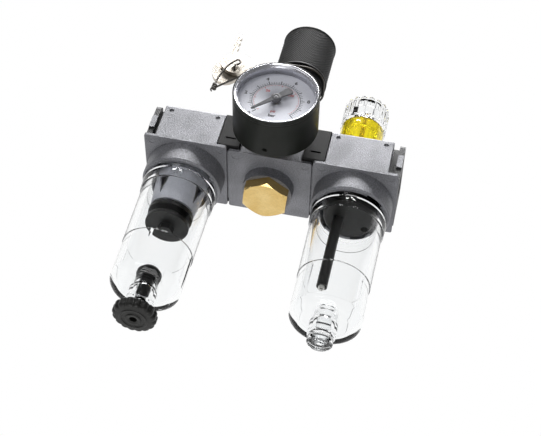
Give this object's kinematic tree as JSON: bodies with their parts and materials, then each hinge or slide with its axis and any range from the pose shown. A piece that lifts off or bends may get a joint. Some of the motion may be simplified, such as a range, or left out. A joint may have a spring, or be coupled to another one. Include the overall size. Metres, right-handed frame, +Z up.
{
  "type": "filter regulator lubricator",
  "caption": "Compressed-air service unit: filter with clear bowl and drain, lockable pressure regulator with gauge, oil mist lubricator with sight dome, clamped in a row.",
  "frame": {"origin": "centre of the inlet port's mouth, on the filter's left face", "axes": "+X along the air's way from inlet to outlet, +Z up towards the knob, -Y towards the gauge's face"},
  "size_m": [0.12, 0.0671, 0.2074],
  "materials": {
    "body_paint": "satin fine-grained silver-grey paint",
    "clear_polycarbonate": "clear, glossy",
    "lens_plastic": "clear, flat",
    "black_rubber": "matt",
    "grey_plastic": "moulded, satin grey",
    "black_plastic": "satin, moulded",
    "element_plastic": "porous, matt white",
    "brass": "machined",
    "black_metal": "satin black",
    "case_black": "semi-gloss black",
    "steel": "zinc plated",
    "silver_ring": "bright",
    "dial_white": "white enamel",
    "pointer_black": "matt black",
    "amber": "translucent yellow",
    "nickel": "nickel plated",
    "wire": "dark lacquered wire"
  },
  "bodies": {
    "frame": {"filter_body": "body_paint", "regulator_body": "body_paint", "lubricator_body": "body_paint", "front_clamp_1": "black_metal", "front_clamp_2": "black_metal", "rear_clamp_1": "black_metal", "rear_clamp_2": "black_metal", "clamp_screws": "steel", "coupling_seals": "black_rubber", "filter_element": "element_plastic", "swirl_skirt": "grey_plastic", "filter_baffle": "black_plastic", "element_retainer": "black_plastic", "bottom_plug": "brass", "plug_seal": "black_rubber", "diaphragm": "black_rubber", "bonnet": "black_metal", "main_spring": "steel", "valve_spring": "steel", "thrust_washer": "steel", "rear_port_plug": "steel", "gauge_case": "case_black", "gauge_bezel": "silver_ring", "gauge_lens": "lens_plastic", "gauge_dial": "dial_white", "gauge_movement": "brass", "bourdon_tube": "brass", "gauge_socket": "brass", "gauge_seal": "black_rubber", "lubricator_insert": "black_plastic", "pickup_tube": "black_plastic", "pickup_strainer": "element_plastic", "venturi_damper": "black_rubber", "sight_glass": "amber", "sight_seal": "black_rubber", "drip_tube": "brass", "fill_plug": "steel"},
    "filter_bowl": {"filter_bowl": "clear_polycarbonate", "filter_bowl_seal": "black_rubber"},
    "drain_lift": {"drain_seal": "black_rubber"},
    "drain": {"drain_stem": "black_plastic", "drain_knob": "black_plastic"},
    "lubricator_bowl": {"lubricator_bowl": "clear_polycarbonate", "lubricator_bowl_seal": "black_rubber", "bowl_plug": "clear_polycarbonate", "bowl_plug_seal": "black_rubber"},
    "knob": {"adjusting_knob": "black_plastic", "adjusting_spindle": "brass"},
    "lock": {"lock_cylinder": "steel"},
    "spring_plate": {"spring_plate": "black_plastic"},
    "diaphragm_plate": {"diaphragm_plate": "steel"},
    "poppet": {"valve_poppet": "brass"},
    "pointer": {"gauge_pointer": "pointer_black", "pointer_arbor": "brass"},
    "sector": {"sector_gear": "brass"},
    "dome": {"sight_dome": "clear_polycarbonate", "metering_needle": "brass"},
    "ring": {"key_ring": "wire"},
    "key_1": {"key_1": "nickel"},
    "key_2": {"key_2": "nickel"}
  },
  "joints": [
    {"name": "filter_bowl_twist", "type": "hinge", "parent": "frame", "child": "filter_bowl", "pos_m": [0.02, 0, 0], "axis": [0, 0, 1], "range_deg": [0, 40]},
    {"name": "drain_rise", "type": "slide", "parent": "filter_bowl", "child": "drain_lift", "axis": [0, 0, 1], "range_m": [0, 0.001]},
    {"name": "drain_turn", "type": "hinge", "parent": "drain_lift", "child": "drain", "pos_m": [0.02, 0, 0], "axis": [0, 0, 1], "range_deg": [0, 180]},
    {"name": "lubricator_bowl_twist", "type": "hinge", "parent": "frame", "child": "lubricator_bowl", "pos_m": [0.1, 0, 0], "axis": [0, 0, 1], "range_deg": [0, 40]},
    {"name": "knob_turn", "type": "hinge", "parent": "frame", "child": "knob", "pos_m": [0.06, 0, 0], "axis": [0, 0, 1], "range_deg": [-1440, 0]},
    {"name": "lock_turn", "type": "hinge", "parent": "knob", "child": "lock", "pos_m": [0.06, 0, 0], "axis": [0, 0, 1], "range_deg": [0, 90]},
    {"name": "spring_plate_travel", "type": "slide", "parent": "frame", "child": "spring_plate", "axis": [0, 0, 1], "range_m": [-0.004, 0], "deforming": ["main_spring"]},
    {"name": "diaphragm_stroke", "type": "slide", "parent": "frame", "child": "diaphragm_plate", "axis": [0, 0, 1], "range_m": [-0.0012, 0]},
    {"name": "poppet_stroke", "type": "slide", "parent": "frame", "child": "poppet", "axis": [0, 0, 1], "range_m": [-0.0012, 0], "deforming": ["valve_spring"]},
    {"name": "pointer_sweep", "type": "hinge", "parent": "frame", "child": "pointer", "pos_m": [0.06, 0, 0], "axis": [0, 1, 0], "range_deg": [0, 270]},
    {"name": "sector_sweep", "type": "hinge", "parent": "frame", "child": "sector", "pos_m": [0.06, 0, -0.011], "axis": [0, 1, 0], "range_deg": [-30.45, 0]},
    {"name": "dome_turn", "type": "hinge", "parent": "frame", "child": "dome", "pos_m": [0.097, 0, 0], "axis": [0, 0, 1], "range_deg": [0, 270]},
    {"name": "ring_swing", "type": "hinge", "parent": "frame", "child": "ring", "pos_m": [0.06, 0, 0.0575], "axis": [0, 0, 1], "continuous": true},
    {"name": "key_1_swing", "type": "hinge", "parent": "ring", "child": "key_1", "pos_m": [0.0226, 0.013, 0.0741], "axis": [0, 1, 0], "range_deg": [-25, 25]},
    {"name": "key_2_swing", "type": "hinge", "parent": "ring", "child": "key_2", "pos_m": [0.0226, 0.013, 0.0741], "axis": [0, 1, 0], "range_deg": [-25, 15]}
  ],
  "couplings": [
    {"joint": "drain_turn", "follows": "drain_rise", "rad_per_m": 3141.6},
    {"joint": "spring_plate_travel", "follows": "knob_turn", "m_per_rad": 0.00015915},
    {"joint": "poppet_stroke", "follows": "diaphragm_stroke", "ratio": 1},
    {"joint": "pointer_sweep", "follows": "sector_sweep", "ratio": -8.864}
  ]
}
